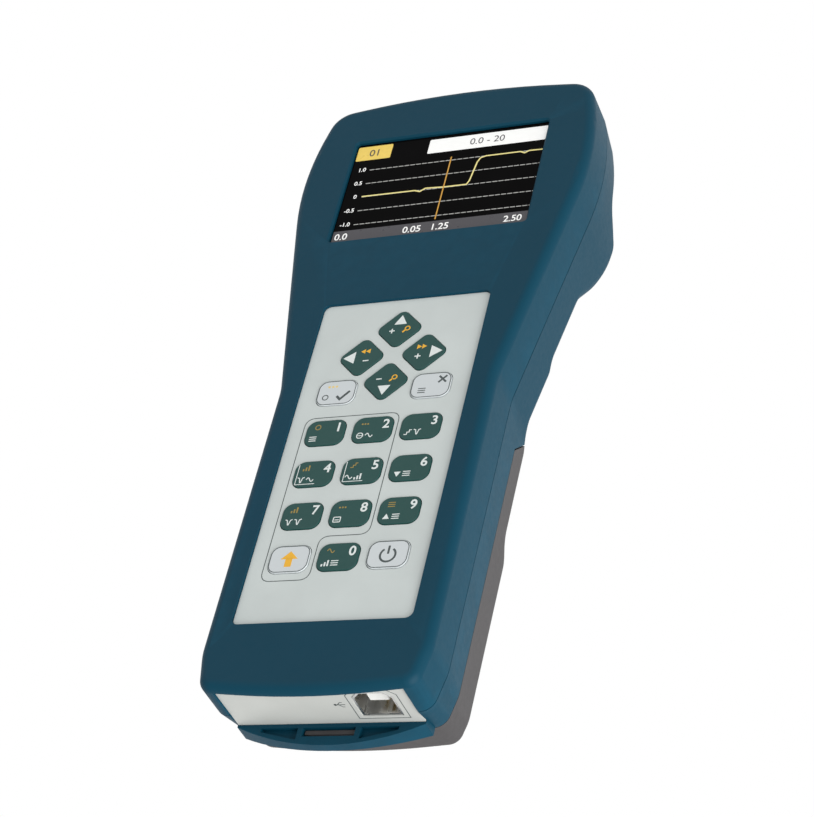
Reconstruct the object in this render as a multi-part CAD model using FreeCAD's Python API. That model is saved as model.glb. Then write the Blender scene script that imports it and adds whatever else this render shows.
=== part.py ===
import FreeCAD, Part
import math
import os

# Handheld antenna analyzer: a two-part case with a wide head and a narrow grip.
# Lengths are in millimetres. X runs across the case, Y along it towards the antenna socket,
# Z out of the front. While modelling, z = 0 is the face of the keypad and y = 0 lies at the
# waist. At the end everything moves so that the origin is under the middle of the outer box.

# Battery bay and its three AA cells
cell_r = 7.25
cell_length = 50.5
cell_nub_r = 2.75
cell_nub_height = 1.0
cell_edge_r = 0.8
cell_pitch = 15.2
cell_gap = 0.15
bay_top_y = -39.0
bay_wall = 1.4
bay_side_gap = 0.75
bay_wall_end_z = -36.6
spring_length = 4.5
spring_base_r = 4.0
spring_tip_r = 2.8
spring_wire_r = 0.35
spring_turns = 4
contact_dimple = 1.2
contact_dimple_r = 2.0
contact_plate_thickness = 0.4
contact_plate_half_width = 5.5
contact_plate_gap = 0.02
bay_bottom_y = bay_top_y - 2 * contact_plate_thickness - contact_dimple - cell_length - spring_length

# Display
lens_centre_y = 85.1
lens_width = 66.8
lens_height = 43.8
lens_thickness = 1.0
lens_top_z = -0.3
lens_corner_r = 1.0
lens_gap = 0.1
lens_ledge = 2.2
lens_bevel = 0.6
bezel_width = 72.0
bezel_height = 50.0
bezel_depth = 3.6
bezel_wall = 0.4
bezel_rim = 4.0
glass_thickness = 1.7
backlight_thickness = 1.2
layer_gap = 0.05

# Ends of the case: the display sets the head's length and the cells set the grip's
main_board_top_y = lens_centre_y + bezel_height / 2 + 6.9
top_panel_y = main_board_top_y + 4.5

# Case outline: corner points of half the plan, and the radius of each corner
end_crown_y = bay_bottom_y - 10.7
end_crown_r = 230.0
end_corner_x = 32.67
end_corner_y = end_crown_y + 3.06
end_corner_r = 4.5
draw_in_x = 35.0
draw_in_y = end_crown_y + 14.7
draw_in_r = 20.0
waist_x = 35.4
waist_y = 3.0
waist_r = 25.0
shoulder_x = 51.8
shoulder_y = 94.0
shoulder_r = 100.0
head_corner_x = 44.96
head_corner_y = top_panel_y + 1.42
head_corner_r = 9.0
head_crown_y = top_panel_y + 7.4
head_crown_r = 270.0

# Case heights, from the keypad face
face_z = 1.0
ceiling_z = -2.4
seam_z = -13.2
seam_gap = 0.25
floor_top_z = -21.2
floor_bottom_z = -22.6
cover_edge_z = -25.0
rest_z = -40.0

# Back profile: heights and places of its steps
back_head_z = -28.6
back_neck_z = -29.4
back_waist_z = -31.5
cover_upper_z = -35.9
hump_top_y = 94.9
hump_crest_upper_y = 87.0
hump_crest_lower_y = 72.4
hump_bottom_y = 55.5
neck_step_upper_y = 32.0
neck_step_lower_y = 28.5
flare_upper_y = 9.5
flare_lower_y = 1.0
cover_step_upper_y = -31.0
cover_step_lower_y = -37.0
valley_r = 6.0
hump_upper_r = 5.5
hump_lower_r = 38.0
step_r = 8.0

# Case walls and edges
case_wall = 2.2
case_draft = 0.1185
end_lean = 2.6
face_edge_r = 3.0
back_edge_r = 3.4
cover_wall = 1.8
cover_gap = 0.2
cover_slant_gap = 0.6
cover_slant_at_edge_y = -5.6

# Chin below the bottom panel, with the slot for the cover's catch
chin_y = end_crown_y - 3.6
chin_end_x = 28.7
chin_end_y = end_crown_y + 2.6
chin_front_height = 2.6
ledge_z = -19.0
catch_slot_half_width = 8.0
catch_slot_outer_y = chin_y + 2.9
catch_slot_inner_y = chin_y + 5.7
catch_thickness = 1.3
catch_side_gap = 0.4
catch_drop = 1.0
catch_foot_height = 1.0
catch_foot_reach = 2.8
pocket_inner_x = 9.6
pocket_outer_x = 21.0
pocket_rim = 1.2
pocket_depth = 1.5

# End panels
panel_thickness = 1.5
panel_gap = 0.1
panel_lip = 0.9
end_wall_reach = 12.0
rib_thickness = 1.2
rib_height = 2.0
bottom_panel_y = end_crown_y + 3.4
bottom_window_half_width = 28.6
bottom_window_top_z = -1.8
top_window_half_width = 34.0
top_window_top_z = -4.0
top_window_bottom_z = -24.6

# Keypad overlay and keys
overlay_width = 55.2
overlay_top_y = 35.35
overlay_bottom_y = -83.0
overlay_thickness = 0.8
overlay_corner_r = 2.2
overlay_gap = 0.12
key_column_pitch = 15.3
key_row_pitch = 15.2
first_row_y = -15.35
confirm_row_y = -0.05
pad_centre_y = 13.2
pad_radius = 10.2
key_width = 12.6
key_height = 9.4
key_corner_r = 3.0
diamond_side = 11.0
diamond_corner_r = 2.2
key_stand_out = 0.35
key_crown = 0.25
key_gap = 0.2
key_travel = 0.4
key_flange = 0.8
key_flange_thickness = 0.8
key_stem_r = 2.0
key_rest_gap = 0.1
dome_r = 2.5
dome_height = 0.45
dome_rest_gap = 0.05

# Boards
board_thickness = 1.6
keypad_board_z = -5.3
keypad_board_half_width = 30.0
keypad_board_top_y = 40.0
keypad_board_bottom_y = -81.0
main_board_gap = 0.2
main_board_half_width = 36.3
main_board_bottom_y = 44.0
power_board_half_width = 23.9
power_board_top_y = -62.0
power_board_bottom_y = bottom_panel_y + 3.1
board_corner_r = 2.0

# Screw places (x, y), each one mirrored to the other side
case_screws = [(39.6, top_panel_y - 9.5), (33.8, 38.0), (28.6, end_crown_y + 16.7)]
keypad_screws = [(26.6, 33.0), (26.6, -24.0), (26.6, -76.0)]
main_screws = [(30.0, main_board_top_y - 3.5), (30.0, main_board_bottom_y + 4.0)]
power_screws = [(20.0, power_board_top_y - 4.0), (9.0, power_board_bottom_y + 3.7)]
case_boss_r = 3.0
case_tower_r = 3.7
case_screw_r = 1.45
case_screw_head_r = 2.5
case_screw_head = 2.0
case_screw_length = 12.0
case_screw_seat_z = -16.0
counterbore_gap = 0.3
screw_hole_gap = 0.2
board_boss_r = 2.8
board_screw_r = 1.1
board_screw_head_r = 2.1
board_screw_head = 1.4
board_screw_length = 4.0
drive_slot_width = 0.6
drive_slot_depth = 0.8
drive_slot_share = 0.6

# Antenna socket, type N, and its fixings
socket_z = -14.3
socket_tip_y = top_panel_y + 8.9
socket_thread_r = 7.9375
socket_thread_depth = 0.6
socket_thread_pitch = 1.058
socket_thread_turns = 8
thread_flank_share = 0.38
thread_root_share = 0.12
socket_lead = 0.6
socket_bore_r = 4.05
socket_bore_depth = 9.0
socket_insulator_r = 3.45
socket_flange = 18.4
socket_flange_thickness = 1.8
socket_flange_corner_r = 1.5
socket_rear_r = 4.6
socket_rear_length = 3.0
socket_hole_gap = 0.15
socket_pin_r = 1.525
socket_pin_bore_r = 0.82
socket_pin_recess = 3.9
socket_pin_slot = 0.3
socket_pin_bore_depth = 4.0
socket_pin_slot_depth = 3.0
socket_tail_r = 0.8
socket_tail_length = 9.0
flange_screw_pitch = 14.6
flange_screw_r = 1.25
flange_screw_head_r = 2.1

# Radio bridge in its tin can, and parts on the main board
can_half_width = 24.0
can_top_y = main_board_top_y - 5.0
can_bottom_y = 62.0
can_height = 12.6
can_wall = 0.4
can_hole_r = 3.0
bridge_board_gap = 0.15
buzzer_x = 30.2
buzzer_y = 57.5
buzzer_r = 5.5
buzzer_height = 6.0
buzzer_hole_r = 1.0
chip_places = [(-12.0, 54.4, 14.0, 14.0), (5.0, 53.0, 8.0, 11.0), (17.0, 50.0, 6.0, 5.0)]
chip_height = 1.4
ribbon_thickness = 0.25
ribbon_half_width = 10.0
ribbon_tab = 5.0
ribbon_rise = 1.25
ribbon_slope = 2.0

# Charging and data socket, type B, on the power board
usb_x = 17.35
usb_z = -10.05
usb_width = 12.0
usb_height = 11.0
usb_depth = 16.0
usb_wall = 0.5
usb_chamfer = 2.2
usb_setback = 0.2
usb_hole_gap = 0.2
usb_tongue_width = 5.6
usb_tongue_height = 3.2
usb_tongue_back = 4.5
usb_tongue_setback = 2.2
usb_contact_width = 1.0
usb_contact_thickness = 0.15
usb_contact_pitch = 2.5
usb_contact_setback = 0.5
usb_contact_gap = 0.4
header_x = -12.0
header_y = -72.0
header_width = 12.7
header_depth = 5.0

# Hooks at the top of the battery cover
hook_x = 20.0
hook_half_width = 5.0
hook_thickness = 1.6
hook_root_y = -6.0
hook_web_end_y = -0.8
hook_tip_y = 7.0
hook_z = -29.9
neck_wall_y = 8.2
neck_wall = 1.5

# Cutters, holes and joins
past = 1.0
cutter_reach = 200.0
join = 0.1
screw_end_gap = 0.3

# Values that follow from those above
usb_board_z = usb_z - usb_height / 2
main_board_z = ceiling_z - layer_gap * 2 - bezel_depth - main_board_gap
overlay_floor_z = -overlay_thickness
cell_z = floor_bottom_z - cell_gap - cell_r
bay_half_width = cell_pitch + cell_r + bay_side_gap
key_bottom_z = keypad_board_z + dome_height + dome_rest_gap + key_travel


def vec(x, y, z):
    return FreeCAD.Vector(x, y, z)


def box(x0, x1, y0, y1, z0, z1):
    return Part.makeBox(x1 - x0, y1 - y0, z1 - z0, vec(x0, y0, z0))


def rod(radius, base, direction, length):
    return Part.makeCylinder(radius, length, base, direction)


def upright(radius, x, y, z0, z1):
    return rod(radius, vec(x, y, z0), vec(0, 0, 1), z1 - z0)


def along_y(radius, x, z, y0, y1):
    return rod(radius, vec(x, y0, z), vec(0, 1, 0), y1 - y0)


def mirrored(places):
    return [(side * x, y) for x, y in places for side in (-1, 1)]


def group(solids):
    return Part.makeCompound(solids)


def fuse_all(first, others):
    return first.multiFuse(others).removeSplitter() if others else first


def shifted_corners(corners, inset):
    """Corners of the same outline with every side moved inwards by inset."""
    count = len(corners)
    lines = []
    for i in range(count):
        x0, y0 = corners[i][:2]
        x1, y1 = corners[(i + 1) % count][:2]
        length = math.hypot(x1 - x0, y1 - y0)
        ux = (x1 - x0) / length
        uy = (y1 - y0) / length
        lines.append((x0 - uy * inset, y0 + ux * inset, ux, uy))
    moved = []
    for i in range(count):
        ax, ay, aux, auy = lines[i - 1]
        bx, by, bux, buy = lines[i]
        turn = aux * buy - auy * bux
        step = ((bx - ax) * buy - (by - ay) * bux) / turn
        moved.append((ax + aux * step, ay + auy * step, corners[i][2], turn))
    return moved


def fitted_reaches(moved, inset, least_r):
    """Distance from each corner to the ends of its arc, shortened where two arcs would meet."""
    count = len(moved)
    halves = []
    reaches = []
    for i in range(count):
        a, b, radius, turn = moved[i]
        pa, pb = moved[i - 1][:2]
        na, nb = moved[(i + 1) % count][:2]
        bend = math.atan2(nb - b, na - a) - math.atan2(b - pb, a - pa)
        bend = abs(math.atan2(math.sin(bend), math.cos(bend)))
        halves.append((math.pi - bend) / 2)
        if radius > 0:
            radius = max(radius - inset, min(radius, least_r)) if turn > 0 else radius + inset
        reaches.append(radius / math.tan(halves[i]))
    for i in range(count):
        j = (i + 1) % count
        side = math.hypot(moved[j][0] - moved[i][0], moved[j][1] - moved[i][1])
        excess = (reaches[i] + reaches[j]) / (0.98 * side)
        if excess > 1:
            reaches[i] /= excess
            reaches[j] /= excess
    return halves, reaches


def rounded_wire(corners, place, inset=0.0, least_r=0.6):
    """Closed wire through (a, b, radius) corners given anticlockwise; place maps (a, b) to space."""
    moved = shifted_corners(corners, inset)
    halves, reaches = fitted_reaches(moved, inset, least_r)
    count = len(moved)
    arcs = []
    for i in range(count):
        a, b = moved[i][:2]
        reach = reaches[i]
        if reach == 0:
            arcs.append([(a, b)])
            continue
        pa, pb = moved[i - 1][:2]
        na, nb = moved[(i + 1) % count][:2]
        back = math.hypot(pa - a, pb - b)
        ahead = math.hypot(na - a, nb - b)
        ba, bb = (pa - a) / back, (pb - b) / back
        fa, fb = (na - a) / ahead, (nb - b) / ahead
        radius = reach * math.tan(halves[i])
        ma, mb = ba + fa, bb + fb
        inward = (radius / math.sin(halves[i]) - radius) / math.hypot(ma, mb)
        middle = (a + ma * inward, b + mb * inward)
        arcs.append([(a + ba * reach, b + bb * reach), middle, (a + fa * reach, b + fb * reach)])
    edges = []
    for i in range(count):
        points = [place(*point) for point in arcs[i]]
        if len(points) == 3:
            edges.append(Part.Arc(*points).toShape())
        start = points[-1]
        end = place(*arcs[(i + 1) % count][0])
        if start.distanceToPoint(end) > 1e-6:
            edges.append(Part.LineSegment(start, end).toShape())
    return Part.Wire(edges)


def level(z):
    return lambda x, y: vec(x, y, z)


def prism(corners, z0, z1, inset=0.0, least_r=0.6):
    face = Part.Face(rounded_wire(corners, level(z0), inset, least_r))
    return face.extrude(vec(0, 0, z1 - z0))


def rectangle(width, height, radius, x=0.0, y=0.0):
    w, h = width / 2, height / 2
    return [(x - w, y - h, radius), (x + w, y - h, radius), (x + w, y + h, radius), (x - w, y + h, radius)]


def diamond(side, radius, x, y):
    reach = side / math.sqrt(2)
    return [(x, y - reach, radius), (x + reach, y, radius), (x, y + reach, radius), (x - reach, y, radius)]


def case_corners(lean=0.0):
    """Plan outline of the case. A lean moves its bottom end inwards."""
    right = [
        (end_corner_x, end_corner_y + lean, end_corner_r),
        (draw_in_x, draw_in_y, draw_in_r),
        (waist_x, waist_y, waist_r),
        (shoulder_x, shoulder_y, shoulder_r),
        (head_corner_x, head_corner_y, head_corner_r),
    ]
    left = [(-x, y, radius) for x, y, radius in reversed(right)]
    return [(0.0, end_crown_y + lean, end_crown_r)] + right + [(0.0, head_crown_y, head_crown_r)] + left


def back_corners():
    """Side view of everything behind the seam, as (y, z, radius), from the bottom end up."""
    far = end_crown_y - case_wall * 5
    beyond = head_crown_y + case_wall * 5
    return [
        (far, seam_z, 0.0),
        (far, rest_z, 0.0),
        (cover_step_lower_y, rest_z, step_r),
        (cover_step_upper_y, cover_upper_z, step_r),
        (flare_lower_y, cover_upper_z, step_r),
        (flare_upper_y, back_waist_z, valley_r),
        (neck_step_lower_y, back_waist_z, valley_r),
        (neck_step_upper_y, back_neck_z, valley_r),
        (hump_bottom_y, back_neck_z, valley_r),
        (hump_crest_lower_y, rest_z, hump_lower_r),
        (hump_crest_upper_y, rest_z, hump_upper_r),
        (hump_top_y, back_head_z, valley_r),
        (beyond, back_head_z, 0.0),
        (beyond, seam_z, 0.0),
    ]


def rear_body(wall=0.0):
    """Solid behind the seam: tapered sides cut to the back profile. A wall gives the space inside."""
    depth = seam_z - rest_z + back_edge_r
    least = end_corner_r - wall
    top = rounded_wire(case_corners(), level(seam_z), wall, least)
    foot = rounded_wire(case_corners(end_lean), level(seam_z - depth), wall + case_draft * depth, least)
    sides = Part.makeLoft([top, foot], True, True)
    half = shoulder_x
    outline = rounded_wire(back_corners(), lambda y, z: vec(-half, y, z), wall)
    profile = Part.Face(outline).extrude(vec(2 * half, 0, 0))
    if wall > 0:
        profile = profile.fuse(box(-half, half, end_crown_y, head_crown_y, seam_z - 2 * wall, seam_z))
    return sides.common(profile)


def back_edges(shape):
    """Edges where the side walls meet the back."""
    chosen = []
    for edge in shape.Edges:
        if edge.BoundBox.ZMax > seam_z - 1:
            continue
        kinds = set()
        for face in shape.ancestorsOfType(edge, Part.Face):
            u0, u1, v0, v1 = face.ParameterRange
            normal = face.normalAt((u0 + u1) / 2, (v0 + v1) / 2)
            kinds.add(abs(normal.x) < 1e-6 and normal.z < -0.3)
        if len(kinds) == 2:
            chosen.append(edge)
    return chosen


def rounded_rear_body():
    body = rear_body()
    return body.makeFillet(back_edge_r, back_edges(body))


def flat_head_screw(x, y, seat_z, length, shank_r, head_r, head):
    """Screw driven upwards (+Z) with its head hanging below seat_z."""
    screw = upright(shank_r, x, y, seat_z - head / 2, seat_z + length)
    screw = screw.fuse(upright(head_r, x, y, seat_z - head, seat_z))
    bottom = seat_z - head
    for turned in (0, 1):
        w = 2 * head_r * drive_slot_share if turned else drive_slot_width
        h = drive_slot_width if turned else 2 * head_r * drive_slot_share
        slot_top = bottom + drive_slot_depth
        screw = screw.cut(box(x - w / 2, x + w / 2, y - h / 2, y + h / 2, bottom, slot_top))
    return screw


def key_places():
    """Every key as (name, shape, x, y)."""
    column = key_column_pitch
    places = [
        ("key_up", "diamond", 0.0, pad_centre_y + pad_radius),
        ("key_down", "diamond", 0.0, pad_centre_y - pad_radius),
        ("key_left", "diamond", -pad_radius, pad_centre_y),
        ("key_right", "diamond", pad_radius, pad_centre_y),
        ("key_ok", "block", -column, confirm_row_y),
        ("key_cancel", "block", column, confirm_row_y),
    ]
    rows = [("1", "2", "3"), ("4", "5", "6"), ("7", "8", "9"), ("f", "0", "power")]
    for i, row in enumerate(rows):
        for j, name in enumerate(row):
            places.append(("key_" + name, "block", (j - 1) * column, first_row_y - i * key_row_pitch))
    return places


def key_corners(kind, x, y, grow=0.0):
    if kind == "diamond":
        return diamond(diamond_side + 2 * grow, diamond_corner_r + grow, x, y)
    return rectangle(key_width + 2 * grow, key_height + 2 * grow, key_corner_r + grow, x, y)


def make_key(kind, x, y):
    """Key cap through overlay and case, a flange that holds it in, and a stem over its dome."""
    flange_top = ceiling_z - key_rest_gap
    cap = prism(key_corners(kind, x, y), flange_top - key_flange_thickness, key_stand_out)
    top = [e for e in cap.Edges if e.BoundBox.ZMin > key_stand_out - 1e-4]
    cap = cap.makeFillet(key_crown, top)
    flange = prism(key_corners(kind, x, y, key_flange), flange_top - key_flange_thickness, flange_top)
    stem = upright(key_stem_r, x, y, key_bottom_z, flange_top - key_flange_thickness / 2)
    return fuse_all(cap, [flange, stem])


def key_openings(z0, z1):
    return [prism(key_corners(kind, x, y, key_gap), z0, z1) for _, kind, x, y in key_places()]


def overlay_corners(grow=0.0):
    height = overlay_top_y - overlay_bottom_y
    middle = (overlay_top_y + overlay_bottom_y) / 2
    return rectangle(overlay_width + 2 * grow, height + 2 * grow, overlay_corner_r + grow, 0.0, middle)


def lens_corners(grow=0.0):
    radius = max(lens_corner_r + grow, 0.3)
    return rectangle(lens_width + 2 * grow, lens_height + 2 * grow, radius, 0.0, lens_centre_y)


def bottom_plate(grow=0.0):
    half = bottom_window_half_width - panel_gap + grow
    return box(-half, half, bottom_panel_y - grow, bottom_panel_y + panel_thickness + grow,
               ledge_z - panel_lip - grow, bottom_window_top_z + panel_lip + grow)


def top_plate(grow=0.0):
    half = top_window_half_width - panel_gap + grow
    return box(-half, half, top_panel_y - panel_thickness - grow, top_panel_y + grow,
               top_window_bottom_z - panel_lip - grow, top_window_top_z + panel_lip + grow)


def end_windows():
    bottom = box(-bottom_window_half_width, bottom_window_half_width, bottom_panel_y - end_wall_reach,
                 bottom_panel_y + end_wall_reach / 2, ledge_z, bottom_window_top_z)
    top = box(-top_window_half_width, top_window_half_width, top_panel_y - end_wall_reach / 2,
              top_panel_y + end_wall_reach, top_window_bottom_z, top_window_top_z)
    return [bottom, top, bottom_plate(panel_gap), top_plate(panel_gap)]


def front_shell():
    """Front half of the case: face, walls, keypad and display recesses, bosses."""
    shell = prism(case_corners(), seam_z + seam_gap / 2, face_z)
    edges = [e for e in shell.Edges if e.BoundBox.ZMin > face_z - 1e-4]
    shell = shell.makeFillet(face_edge_r, edges)
    shell = shell.cut(prism(case_corners(), seam_z - past, ceiling_z, case_wall))
    bevel_foot = rounded_wire(lens_corners(lens_gap), level(face_z - lens_bevel))
    bevel_top = rounded_wire(lens_corners(lens_gap + lens_bevel), level(face_z))
    cuts = [
        prism(overlay_corners(overlay_gap), overlay_floor_z, face_z + past),
        prism(lens_corners(lens_gap), lens_top_z - lens_thickness, face_z + past),
        Part.makeLoft([bevel_foot, bevel_top], True, True),
        prism(lens_corners(-lens_ledge), ceiling_z - past, face_z),
    ]
    cuts += key_openings(ceiling_z - past, face_z)
    cuts += end_windows()
    for window in cuts:
        shell = shell.cut(window)
    shell = shell.multiFuse(front_bosses())
    for x, y in mirrored(case_screws):
        shell = shell.cut(upright(case_screw_r, x, y, seam_z, case_screw_seat_z + case_screw_length + past))
    for places, back_z in ((keypad_screws, keypad_board_z), (main_screws, main_board_z)):
        screw_tip_z = back_z - board_thickness + board_screw_length
        hole_top = min(screw_tip_z + screw_end_gap, ceiling_z + case_wall / 4)
        for x, y in mirrored(places):
            shell = shell.cut(upright(board_screw_r, x, y, back_z - past, hole_top))
    return shell


def front_bosses():
    """Screw bosses that stand on the ceiling, and ribs that hold the end panels."""
    root = ceiling_z + join
    bosses = [upright(case_boss_r, x, y, seam_z + seam_gap, root) for x, y in mirrored(case_screws)]
    bosses += [upright(board_boss_r, x, y, keypad_board_z, root) for x, y in mirrored(keypad_screws)]
    bosses += [upright(board_boss_r, x, y, main_board_z, root) for x, y in mirrored(main_screws)]
    bosses.append(rib(bottom_window_half_width, bottom_panel_y + panel_thickness + panel_gap,
                      ceiling_z - rib_height, root))
    bosses.append(rib(top_window_half_width, top_panel_y + panel_gap, top_window_top_z, root))
    return bosses


def rib(half_width, y, z0, z1):
    return box(-half_width, half_width, y, y + rib_thickness, z0, z1)


def cover_zone(gap=0.0):
    """Space behind the cover's edge: a flat border at the sides and a slanted one at the waist."""
    slant = cover_slant_at_edge_y + cover_edge_z
    edge = cover_edge_z - gap
    near = slant - edge - (cover_slant_gap if gap > 0 else 0.0)
    far = -cutter_reach
    depth = edge + cutter_reach
    points = [vec(-cutter_reach, far, edge), vec(-cutter_reach, near, edge),
              vec(-cutter_reach, near + depth, edge - depth), vec(-cutter_reach, far, edge - depth)]
    face = Part.Face(Part.makePolygon(points + points[:1]))
    return face.extrude(vec(2 * cutter_reach, 0, 0))


def chin():
    """Crescent ledge under the bottom panel, its underside sloping back to the case."""
    inner_y = bottom_panel_y + case_wall
    left = vec(-chin_end_x, chin_end_y, ledge_z)
    right = vec(chin_end_x, chin_end_y, ledge_z)
    arc = Part.Arc(left, vec(0, chin_y, ledge_z), right).toShape()
    sides = Part.makePolygon([right, vec(chin_end_x, inner_y, ledge_z),
                              vec(-chin_end_x, inner_y, ledge_z), left])
    face = Part.Face(Part.Wire([arc] + sides.Edges))
    body = face.extrude(vec(0, 0, cover_edge_z - ledge_z))
    front = ledge_z - chin_front_height
    half = chin_end_x + past
    slope = Part.makePolygon([vec(-half, chin_y - past, front), vec(-half, chin_end_y, cover_edge_z),
                              vec(-half, chin_end_y, cover_edge_z - past),
                              vec(-half, chin_y - past, cover_edge_z - past),
                              vec(-half, chin_y - past, front)])
    return body.cut(Part.Face(slope).extrude(vec(2 * half, 0, 0)))


def chin_edge(x):
    """Front edge of the chin at x, taken as a shallow curve between its middle and its ends."""
    return chin_y + (chin_end_y - chin_y) * (x / chin_end_x) ** 2


def chin_cuts():
    slot = box(-catch_slot_half_width, catch_slot_half_width, catch_slot_outer_y, catch_slot_inner_y,
               cover_edge_z - past, ledge_z + past)
    pockets = []
    for side in (-1, 1):
        inner = side * pocket_inner_x
        outer = side * pocket_outer_x
        points = [vec(inner, catch_slot_inner_y, ledge_z), vec(outer, catch_slot_inner_y, ledge_z),
                  vec(outer, chin_edge(outer) + pocket_rim, ledge_z),
                  vec(inner, chin_edge(inner) + pocket_rim, ledge_z)]
        face = Part.Face(Part.makePolygon(points + points[:1]))
        pockets.append(face.extrude(vec(0, 0, -pocket_depth)))
    return [slot] + pockets


def battery_walls():
    """Four walls that stand down from the floor round the cells."""
    outer = box(-bay_half_width - bay_wall, bay_half_width + bay_wall, bay_bottom_y - bay_wall,
                bay_top_y + bay_wall, bay_wall_end_z, floor_bottom_z + join)
    inner = box(-bay_half_width, bay_half_width, bay_bottom_y, bay_top_y,
                bay_wall_end_z - past, floor_bottom_z)
    return outer.cut(inner)


def rear_shell(body):
    """Rear half of the case: skirt, floor over the cells, neck wall, hump, chin and towers."""
    inner = rear_body(case_wall)
    half = shoulder_x + case_wall
    neck_end = neck_wall_y + neck_wall
    shell = body.cut(inner)
    span = end_crown_y, neck_end
    floor = inner.common(box(-half, half, span[0], span[1], floor_bottom_z, floor_top_z))
    wall = inner.common(box(-half, half, neck_wall_y, neck_end, rest_z, floor_top_z))
    shell = shell.fuse(floor).fuse(wall).cut(cover_zone())
    additions = [chin(), battery_walls()]
    for x, y in mirrored(case_screws):
        foot = floor_top_z - join if y < neck_end else back_head_z + case_wall / 2
        additions.append(upright(case_tower_r, x, y, foot, seam_z - seam_gap / 2))
    for x, y in mirrored(power_screws):
        additions.append(upright(board_boss_r, x, y, floor_top_z - join, usb_board_z - board_thickness))
    additions.append(rib(bottom_window_half_width, bottom_panel_y + panel_thickness + panel_gap,
                         floor_top_z - join, ledge_z + rib_height))
    root = back_head_z + case_wall - join
    additions.append(rib(top_window_half_width, top_panel_y + panel_gap, root, top_window_bottom_z))
    additions.append(rib(top_window_half_width, top_panel_y - panel_thickness - panel_gap - rib_thickness,
                         root, top_window_bottom_z + panel_lip))
    shell = shell.multiFuse(additions)
    cuts = end_windows() + chin_cuts()
    for x, y in mirrored(case_screws):
        cuts.append(upright(case_screw_head_r + counterbore_gap, x, y, rest_z, case_screw_seat_z))
        cuts.append(upright(case_screw_r + screw_hole_gap, x, y, rest_z, seam_z + past))
    for x, y in mirrored(power_screws):
        hole_z = usb_board_z - board_screw_length - screw_end_gap
        cuts.append(upright(board_screw_r, x, y, hole_z, usb_board_z))
    for piece in cuts:
        shell = shell.cut(piece)
    return shell.cut(box(-half, half, end_crown_y - case_wall * 5, head_crown_y + 5,
                         seam_z - seam_gap / 2, seam_z + past))


def battery_cover(body):
    """Grey cover of the cells: a tapered tray with two hooks at the waist and a catch at the end."""
    cover = body.common(cover_zone(cover_gap)).cut(rear_body(cover_wall))
    wall_top = cover_edge_z - cover_gap
    additions = []
    for side in (-1, 1):
        x0 = side * hook_x - hook_half_width
        x1 = side * hook_x + hook_half_width
        additions.append(box(x0, x1, hook_root_y, hook_tip_y, hook_z, hook_z + hook_thickness))
        additions.append(box(x0, x1, hook_root_y, hook_web_end_y, cover_upper_z + cover_wall - join,
                             hook_z + hook_thickness))
    catch_half = catch_slot_half_width - catch_side_gap
    outer_y = catch_slot_inner_y - catch_side_gap - catch_thickness
    additions.append(box(-catch_half, catch_half, outer_y, outer_y + catch_thickness,
                         wall_top - catch_foot_height, ledge_z - catch_drop))
    additions.append(box(-catch_half, catch_half, outer_y, end_crown_y + cover_wall + catch_foot_reach,
                         wall_top - catch_foot_height, wall_top))
    return fuse_all(cover, additions)


def keypad_overlay():
    plate = prism(overlay_corners(), overlay_floor_z, 0.0)
    for opening in key_openings(overlay_floor_z - past, 1.0):
        plate = plate.cut(opening)
    return plate


def display_bezel():
    z1 = ceiling_z - layer_gap * 2
    z0 = z1 - bezel_depth
    frame = prism(rectangle(bezel_width, bezel_height, 0.8, 0.0, lens_centre_y), z0, z1)
    inside = rectangle(bezel_width - 2 * bezel_wall, bezel_height - 2 * bezel_wall, 0.4, 0.0, lens_centre_y)
    opening = rectangle(bezel_width - 2 * bezel_rim, bezel_height - 2 * bezel_rim, 0.4, 0.0, lens_centre_y)
    return frame.cut(prism(inside, z0 - past, z1 - bezel_wall)).cut(prism(opening, z0, z1 + past))


def display_layer(z1, thickness):
    width = bezel_width - 2 * bezel_wall - 2 * layer_gap
    height = bezel_height - 2 * bezel_wall - 2 * layer_gap
    return prism(rectangle(width, height, 0.4, 0.0, lens_centre_y), z1 - thickness, z1)


def board(half_width, bottom_y, top_y, z1, holes):
    plate = prism(rectangle(2 * half_width, top_y - bottom_y, board_corner_r, 0.0, (top_y + bottom_y) / 2),
                  z1 - board_thickness, z1)
    for x, y in holes:
        plate = plate.cut(upright(board_screw_r + screw_hole_gap, x, y,
                                  z1 - board_thickness - past, z1 + past))
    return plate


def bent_strip(points, half_width):
    """Flat flexible cable: a strip that follows (y, z) points, hung under them by its thickness."""
    lower = [(y, z - ribbon_thickness) for y, z in reversed(points)]
    corners = [vec(-half_width, y, z) for y, z in points + lower]
    return Part.Face(Part.makePolygon(corners + corners[:1])).extrude(vec(2 * half_width, 0, 0))


def board_screws():
    screws = []
    for places, top_z in ((keypad_screws, keypad_board_z), (main_screws, main_board_z)):
        for x, y in mirrored(places):
            screws.append(flat_head_screw(x, y, top_z - board_thickness, board_screw_length,
                                          board_screw_r, board_screw_head_r, board_screw_head))
    for x, y in mirrored(power_screws):
        screw = flat_head_screw(x, -y, -usb_board_z, board_screw_length,
                                board_screw_r, board_screw_head_r, board_screw_head)
        screws.append(screw.rotate(vec(0, 0, 0), vec(1, 0, 0), 180))
    return group(screws)


def radio_can():
    """Tin can on the back of the main board, open towards it, with a hole for the socket's tail."""
    z1 = main_board_z - board_thickness
    z0 = z1 - can_height
    can = box(-can_half_width, can_half_width, can_bottom_y, can_top_y, z0, z1)
    can = can.cut(box(-can_half_width + can_wall, can_half_width - can_wall, can_bottom_y + can_wall,
                      can_top_y - can_wall, z0 + can_wall, z1 + past))
    return can.cut(along_y(can_hole_r, 0.0, socket_z, can_top_y - past, can_top_y + past))


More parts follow.
